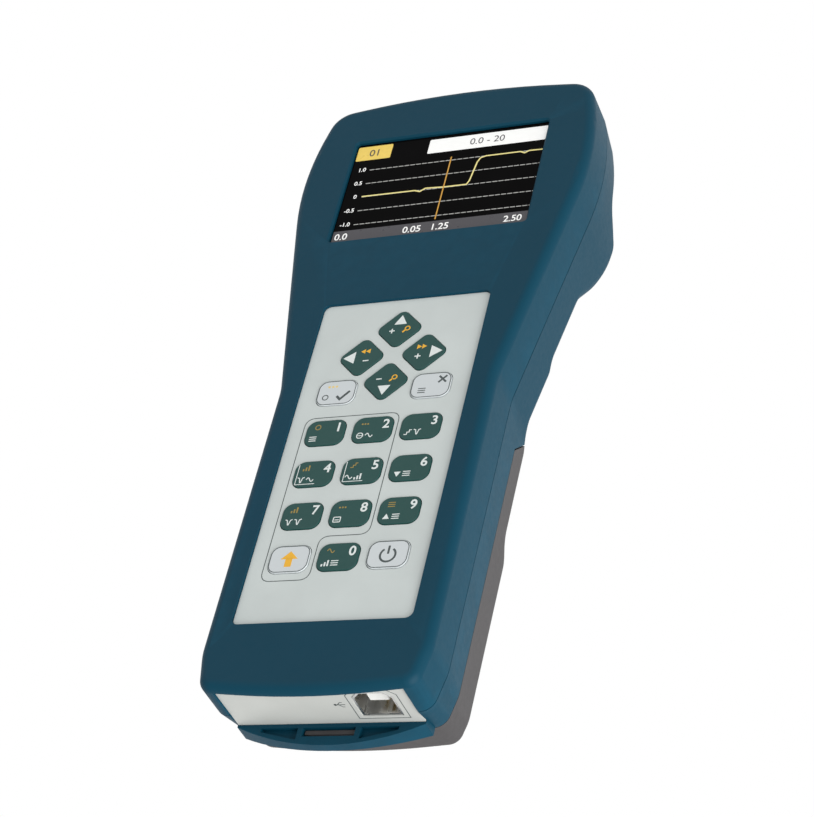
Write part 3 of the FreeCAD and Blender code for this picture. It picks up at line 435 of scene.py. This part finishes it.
LINE = 0.13
BOLD = 0.18
HEAVY = 0.2
WAVE = [(-0.5 + i / 14, 0.3 * math.sin(2 * math.pi * i / 14)) for i in range(15)]
DIP = [(-0.5, 0.4), (-0.22, 0.3), (-0.05, -0.4), (0.05, -0.4), (0.22, 0.3), (0.5, 0.4)]
STEPS = [(-0.5, -0.35), (-0.1, -0.35), (-0.1, 0.0), (0.2, 0.0), (0.2, 0.35), (0.5, 0.35)]
BARS = ((-0.5, -0.1), (-0.11, 0.15), (0.28, 0.45))
ACROSS = stroke([(-0.4, 0), (0.4, 0)], BOLD)
TO_LEFT = [[(0.33, -0.5), (0.33, 0.5), (-0.5, 0.0)]]
TO_RIGHT = [[(-0.33, -0.5), (0.5, 0.0), (-0.33, 0.5)]]
SIGNS = {
    "bars": [[(x, -0.45), (x + 0.22, -0.45), (x + 0.22, top), (x, top)] for x, top in BARS],
    "dots": [circle(x, 0.0, 0.14, steps=12) for x in (-0.4, 0.0, 0.4)],
    "lines": [quad for y in (-0.32, 0.0, 0.32) for quad in stroke([(-0.5, y), (0.5, y)], LINE)],
    "wave": stroke(WAVE, LINE),
    "dip": stroke(DIP, LINE),
    "steps": stroke(STEPS, LINE),
    "ring": stroke(circle(0, 0, 0.38), LINE, True),
    "target": (stroke(circle(0, 0, 0.42), LINE, True) + stroke([(-0.36, 0), (-0.07, 0)], LINE * 0.8)
               + stroke([(0.07, 0), (0.36, 0)], LINE * 0.8) + [circle(0, 0, 0.09, steps=10)]),
    "frame": stroke(rounded(0.95, 0.75, 0.12), LINE, True) + stroke([(-0.3, -0.05), (0.3, -0.05)], LINE),
    "plus": ACROSS + stroke([(0, 0.1), (0, 0.4)], BOLD) + stroke([(0, -0.4), (0, -0.1)], BOLD),
    "minus": ACROSS,
    "lens": stroke(circle(0.12, 0.12, 0.28), 0.14, True) + stroke([(-0.1, -0.1), (-0.42, -0.42)], HEAVY),
    "tick": stroke([(-0.45, 0.0), (-0.15, -0.32), (0.5, 0.38)], 0.19),
    "cross": (stroke([(-0.38, -0.38), (0.38, 0.38)], HEAVY) + stroke([(-0.38, 0.38), (-0.08, 0.08)], HEAVY)
              + stroke([(0.08, -0.08), (0.38, -0.38)], HEAVY)),
    "power": stroke(circle(0, -0.04, 0.4, 125, 290), 0.11) + stroke([(0, 0.02), (0, 0.5)], 0.11),
    "shift": [[(-0.5, 0.0), (0.5, 0.0), (0.0, 0.5)], [(-0.2, -0.5), (0.2, -0.5), (0.2, 0.01), (-0.2, 0.01)]],
    "up": [[(-0.45, -0.33), (0.45, -0.33), (0.0, 0.45)]],
    "down": [[(-0.45, 0.33), (0.0, -0.45), (0.45, 0.33)]],
    "left": TO_LEFT,
    "right": TO_RIGHT,
    "faster": shifted(TO_RIGHT, -0.24, 0, 0.6) + shifted(TO_RIGHT, 0.3, 0, 0.6),
    "slower": shifted(TO_LEFT, 0.24, 0, 0.6) + shifted(TO_LEFT, -0.3, 0, 0.6),
}


def signs(items):
    """Polygons of signs, each given as (name, x, y, size)."""
    return [polygon for kind, x, y, size in items for polygon in shifted(SIGNS[kind], x, y, size)]


# Marks of each key, from the key's middle: first the white or dark ones, then the yellow ones

ARROW_KEYS = {
    "key_up": ([("up", 0.0, 3.3, 4.6), ("plus", -2.3, -0.7, 2.2)], [("lens", 2.4, -0.4, 2.7)]),
    "key_down": ([("down", 0.0, -3.3, 4.6), ("minus", -2.3, 0.9, 2.2)], [("lens", 2.4, 0.9, 2.7)]),
    "key_left": ([("left", -3.7, 0.0, 4.6), ("minus", 1.7, -1.5, 2.4)], [("slower", 1.2, 2.2, 3.0)]),
    "key_right": ([("right", 3.7, 0.0, 4.6), ("plus", -1.7, -1.5, 2.4)], [("faster", -1.2, 2.2, 3.0)]),
}
DIGIT_KEYS = {
    "1": (["lines"], ["ring"]), "2": (["target", "wave"], ["dots"]), "3": (["steps", "dip"], []),
    "4": (["dip", "wave"], ["bars"]), "5": (["wave", "bars"], ["steps"]), "6": (["down", "lines"], []),
    "7": (["dip", "dip"], ["bars"]), "8": (["frame"], ["dots"]), "9": (["up", "lines"], ["lines"]),
    "0": (["bars", "lines"], ["wave"]),
}
LIGHT_KEY_MARKS = {
    "key_ok": ([("tick", 2.3, -1.4, 4.2), ("ring", -3.3, -1.7, 2.4)], [("dots", -1.6, 2.3, 3.0)]),
    "key_cancel": ([("cross", 3.4, 2.0, 3.2), ("lines", -2.6, -1.9, 2.4)], []),
    "key_f": ([], [("shift", 0.0, 0.0, 5.4)]),
    "key_power": ([("power", 0.0, 0.0, 5.8)], []),
}
DIGIT_X, DIGIT_Y, DIGIT_HEIGHT = 4.1, 1.85, 3.3
LOW_SIGN_X, LOW_SIGN_STEP, LOW_SIGN_Y, LOW_SIGN_SIZE = -3.6, 2.9, -2.1, 2.3
YELLOW_SIGN_X, YELLOW_SIGN_Y, YELLOW_SIGN_SIZE = -2.7, 2.15, 2.2
AXES = [(-5.2, 3.6), (-5.2, -3.7), (1.2, -3.7)]
AXES_KEYS = "45"
AXES_LINE = 0.22
RIM_WIDTH, RIM_HEIGHT, RIM_CORNER = 12.0, 8.8, 2.7
FINE_LINE = 0.26


def print_keys():
    for name, (white, yellow) in ARROW_KEYS.items():
        layers = [(signs(white), WHITE_INK), (signs(yellow), YELLOW_INK)]
        flat_piece(name + "_marks", layers, on_key(name), name)
    for digit, (low, yellow) in DIGIT_KEYS.items():
        white = digits(digit, DIGIT_X, DIGIT_Y, DIGIT_HEIGHT)
        white += signs([(kind, LOW_SIGN_X + LOW_SIGN_STEP * n, LOW_SIGN_Y, LOW_SIGN_SIZE)
                        for n, kind in enumerate(low)])
        if digit in AXES_KEYS:
            white += stroke(AXES, AXES_LINE)
        layers = [(white, WHITE_INK)]
        if yellow:
            layers.append((signs([(kind, YELLOW_SIGN_X, YELLOW_SIGN_Y, YELLOW_SIGN_SIZE) for kind in yellow]),
                           MUSTARD_INK))
        name = "key_" + digit
        flat_piece(name + "_marks", layers, on_key(name), name)
    rim = stroke(rounded(RIM_WIDTH, RIM_HEIGHT, RIM_CORNER), FINE_LINE, True)
    for name, (dark, yellow) in LIGHT_KEY_MARKS.items():
        layers = [(rim + signs(dark), DARK_INK)]
        if yellow:
            layers.append((signs(yellow), PALE_YELLOW_INK if name == "key_ok" else YELLOW_INK))
        flat_piece(name + "_marks", layers, on_key(name), name)


def filleted(corners, radius, steps=6):
    """Closed line through the corners with each one rounded."""
    points = []
    for i, corner in enumerate(corners):
        here = Vector(corner)
        back = (Vector(corners[i - 1]) - here).normalized()
        ahead = (Vector(corners[(i + 1) % len(corners)]) - here).normalized()
        start, end = here + back * radius, here + ahead * radius
        for n in range(steps + 1):
            t = n / steps
            point = start * (1 - t) ** 2 + here * 2 * t * (1 - t) + end * t ** 2
            points.append((point.x, point.y))
    return points


def print_overlay():
    """Thin dark line printed on the keypad sheet, round the first two columns of keys."""
    left, step, right = -22.9, -7.6, 7.6
    bottom, step_y, top = -68.2, -53.3, -9.3
    corners = [(left, bottom), (step, bottom), (step, step_y), (right, step_y), (right, top), (left, top)]
    line = stroke(filleted(corners, 3.2), FINE_LINE, True)
    flat_piece("overlay_lines", [(line, DARK_INK)], on_level(0.0), "case")


# Display: a dark window with the lit graph on it

WINDOW_CORNER = 1.0
WINDOW_CHAMFER = ((0.0, 0.2), (0.06, 0.06), (0.2, 0.0))


def window():
    """Polished window of the display. Each chamfer ring has its inset and its depth below the top."""
    low, high = source_box("display_lens")
    x, y, _ = centre("display_lens")
    mesh = bmesh.new()
    rings = []
    for inset, z in [(0.0, low[2])] + [(inset, high[2] - depth) for inset, depth in WINDOW_CHAMFER]:
        width, height = high[0] - low[0] - 2 * inset, high[1] - low[1] - 2 * inset
        rings.append([mesh.verts.new(at(a, b, z)) for a, b in rounded(width, height, WINDOW_CORNER, x, y)])
    for lower, upper in zip(rings, rings[1:]):
        for i in range(len(lower)):
            j = (i + 1) % len(lower)
            mesh.faces.new((lower[i], lower[j], upper[j], upper[i]))
    mesh.faces.new(rings[-1])
    mesh.faces.new(rings[0][::-1])
    data = bpy.data.meshes.new("display_window")
    mesh.to_mesh(data)
    mesh.free()
    data.materials.append(SCREEN)
    obj = bpy.data.objects.new("display_window", data)
    bpy.context.scene.collection.objects.link(obj)
    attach(obj, "case")
    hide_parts("display_lens")


GRAPH_LEFT, GRAPH_RIGHT = -26.7, 33.1
GRAPH_LEVELS = (("1.0", 94.9), ("0.5", 88.8), ("0", 82.8), ("-0.5", 76.7), ("-1.0", 70.6))
GRID_LINE, DASH, DASH_SPACE = 0.3, 1.7, 0.35
LEVEL_RIGHT, ZERO_RIGHT, LEVEL_RISE, LEVEL_HEIGHT = -28.1, -28.6, 0.4, 1.7
LIT_WEIGHT = 0.015
TRACE = [(-26.8, 83.0), (-8.2, 82.9), (-6.3, 82.2), (-4.6, 83.4), (2.0, 83.0), (9.6, 83.0), (10.3, 84.6),
         (11.4, 92.6), (12.2, 94.3), (14.0, 94.9), (25.6, 94.9), (27.2, 94.1), (28.6, 94.9), (33.1, 94.8)]
TRACE_LINE = 0.5
CURSOR = [(1.75, 69.0), (1.75, 96.4)]
CURSOR_LINE = 0.42
STATUS_HALF_WIDTH, STATUS_LOW, STATUS_HIGH, STATUS_TEXT_Y = 33.1, 63.4, 68.3, 65.7

# Each status number: text, x, height, side. Each field: width, height, corner, x, y.
# Each field's number: text, x, y, height, weight.
STATUS_NUMBERS = (("0.0", -32.2, 2.7, "LEFT"), ("0.05   1.25", -0.8, 2.7, "CENTER"),
                  ("2.50", 31.4, 2.6, "RIGHT"))
BADGE_FIELD = (12.3, 6.3, 0.5, -26.8, 102.8)
BAR_FIELD = (40.6, 6.2, 0.4, 12.9, 102.3)
FIELD_NUMBERS = (("01", -26.8, 102.7, 2.9, 0.0), ("0.0 - 20", 13.0, 102.3, 2.7, -0.004))


def dashes(x0, x1, y):
    """Dashed level line of the graph."""
    low, high = y - GRID_LINE / 2, y + GRID_LINE / 2
    marks = []
    x = x0
    while x < x1:
        end = min(x + DASH, x1)
        marks.append([(x, low), (end, low), (end, high), (x, high)])
        x = end + DASH_SPACE
    return marks


def screen_graph():
    """Generic graph with plain numbers. Each layer lies one print above the last."""
    grid, numbers = [], []
    for text, y in GRAPH_LEVELS:
        grid += dashes(GRAPH_LEFT, GRAPH_RIGHT, y)
        right = ZERO_RIGHT if text == "0" else LEVEL_RIGHT
        numbers += digits(text, right, y + LEVEL_RISE, LEVEL_HEIGHT, LIT_WEIGHT, "RIGHT")
    for text, x, height, side in STATUS_NUMBERS:
        numbers += digits(text, x, STATUS_TEXT_Y, height, LIT_WEIGHT, side)
    dark_numbers = [triangle for number in FIELD_NUMBERS for triangle in digits(*number)]
    status = [[(-STATUS_HALF_WIDTH, STATUS_LOW), (STATUS_HALF_WIDTH, STATUS_LOW),
               (STATUS_HALF_WIDTH, STATUS_HIGH), (-STATUS_HALF_WIDTH, STATUS_HIGH)]]
    badge, bar = [rounded(*BADGE_FIELD)], [rounded(*BAR_FIELD)]
    layers = {"screen_fields": [(status, LIT_GREY), (badge, LIT_YELLOW), (bar, LIT_WHITE)],
              "screen_grid": [(grid, LIT_LINE)],
              "screen_trace": [(stroke(TRACE, TRACE_LINE), LIT_TRACE)],
              "screen_cursor": [(stroke(CURSOR, CURSOR_LINE), LIT_CURSOR)],
              "screen_numbers": [(numbers, LIT_WHITE), (dark_numbers, LIT_GREY)]}
    window_top = source_box("display_lens")[1][2]
    for depth, (name, marks) in enumerate(layers.items()):
        flat_piece(name, marks, on_level(window_top + depth * PRINT), "case")


# Marks on the bottom panel, and painted shade in the seam


def panel_marks():
    """Thin outline round the data socket and a small symbol beside it."""
    half_width, half_height, cut = 7.6, 6.9, 2.4
    x, _, z = centre("usb_shell")
    left, right, bottom, top = x - half_width, x + half_width, z - half_height, z + half_height
    outline = [(left, bottom), (right, bottom), (right, top - cut), (right - cut, top), (left + cut, top),
               (left, top - cut)]
    stem, branch = 0.3, 0.25
    lines = stroke(outline, branch, True)
    lines += stroke([(5.2, -9.9), (8.2, -9.9)], stem) + [circle(5.2, -9.9, 0.45, steps=14)]
    lines += stroke([(6.0, -9.7), (6.9, -8.8), (7.6, -8.8)], branch)
    lines += stroke([(6.4, -10.1), (7.2, -11.0), (7.8, -11.0)], branch)
    flat_piece("panel_lines", [(lines, DARK_INK)], on_panel, "case")


SEAM_Z = -13.075
SEAM_REACH = 2e-5
# The seam strip is painted shade: a black band set inside the gap so that the seam reads darker.
SHADE_STRIP_INSET, SHADE_STRIP_WIDTH, SHADE_STRIP_LOW_Z, SHADE_STRIP_HEIGHT = 0.75, 0.5, -13.3, 0.2
END_WINDOW_HALF_WIDTH, END_WINDOW_START = 34.5, 100.0


def seam_shade_strip():
    """Black strip of painted shade just inside the seam between the two shells, darkening the gap; left out
    at the end windows.
    """
    seam = at(0, 0, SEAM_Z).z
    rim = {}
    for vert in NODES["front_shell"].data.vertices:
        if abs(vert.co.z - seam) < SEAM_REACH:
            turn = round(math.atan2(vert.co.x, vert.co.y), 2)
            if turn not in rim or vert.co.length > rim[turn].length:
                rim[turn] = vert.co.copy()
    outline = [rim[turn] * 1000 for turn in sorted(rim)]
    outline = [(v.x, v.y) for v in outline
               if abs(v.x) > END_WINDOW_HALF_WIDTH or abs(v.y) < END_WINDOW_START]
    strips = []
    for side in (-1, 1):
        strips += stroke([(x - side * SHADE_STRIP_INSET, y) for x, y in outline if x * side > 0], SHADE_STRIP_WIDTH)
    # Painted shade: a black strip along the seam, inside the gap.
    flat_piece("seam_shade_strip", [(strips, BLACK)],
               lambda a, b, h: at(a, b + BOX_MIDDLE_Y, SHADE_STRIP_LOW_Z + h), "case", SHADE_STRIP_HEIGHT)


# Light and camera. Places of the lights are in metres.

LIT_POINT = (0, 0, 0.02)
SKY_ON_OBJECT, SKY_SEEN = 0.45, 1.0
SENSOR_WIDTH, FOCAL_LENGTH, NEAREST = 36.0, 103.98, 0.01
CAMERA_PLACE = (284.3, -419.6, 477.6)
CAMERA_RIGHT = (0.91384, 0.20145, -0.35259)
CAMERA_UP = (0.07104, 0.77557, 0.62725)
CAMERA_BACK = (0.39982, -0.59825, 0.69443)


def area_light(name, place, size, power):
    data = bpy.data.lights.new(name, "AREA")
    data.shape = "DISK"
    data.size = size
    data.energy = power
    light = bpy.data.objects.new(name, data)
    bpy.context.scene.collection.objects.link(light)
    light.location = place
    light.rotation_euler = (Vector(LIT_POINT) - Vector(place)).to_track_quat("-Z", "Y").to_euler()


def build_lights():
    """Two soft lights, and a sky that is plain white where it is seen or mirrored."""
    area_light("key_light", (1.25, -0.98, 0.32), 1.8, 44.0)
    area_light("top_light", (-0.35, 0.25, 1.25), 1.4, 4.2)
    world = bpy.data.worlds.new("studio")
    bpy.context.scene.world = world
    world.use_nodes = True
    tree = world.node_tree
    background = tree.nodes["Background"]
    background.inputs["Color"].default_value = (1.0, 1.0, 1.0, 1.0)
    path = tree.nodes.new("ShaderNodeLightPath")
    seen = path.outputs["Is Camera Ray"]
    for name in ("Is Glossy Ray", "Is Transmission Ray"):
        either = tree.nodes.new("ShaderNodeMath")
        either.operation = "MAXIMUM"
        tree.links.new(seen, either.inputs[0])
        tree.links.new(path.outputs[name], either.inputs[1])
        seen = either.outputs[0]
    strength = tree.nodes.new("ShaderNodeMapRange")
    strength.inputs["To Min"].default_value = SKY_ON_OBJECT
    strength.inputs["To Max"].default_value = SKY_SEEN
    tree.links.new(seen, strength.inputs["Value"])
    tree.links.new(strength.outputs["Result"], background.inputs["Strength"])


def build_camera():
    """Camera at the photo's place, worked out from the case's known corners."""
    data = bpy.data.cameras.new("camera")
    data.sensor_width = SENSOR_WIDTH
    data.lens = FOCAL_LENGTH
    data.clip_start = NEAREST
    camera = bpy.data.objects.new("camera", data)
    bpy.context.scene.collection.objects.link(camera)
    turn = Matrix((CAMERA_RIGHT, CAMERA_UP, CAMERA_BACK)).transposed().to_4x4()
    camera.matrix_world = Matrix.Translation(at(*CAMERA_PLACE)) @ turn
    bpy.context.scene.camera = camera


dress_nodes()
print_keys()
print_overlay()
window()
screen_graph()
panel_marks()
seam_shade_strip()
build_lights()
build_camera()
bpy.context.scene.view_settings.view_transform = "Standard"

bpy.context.view_layer.update()
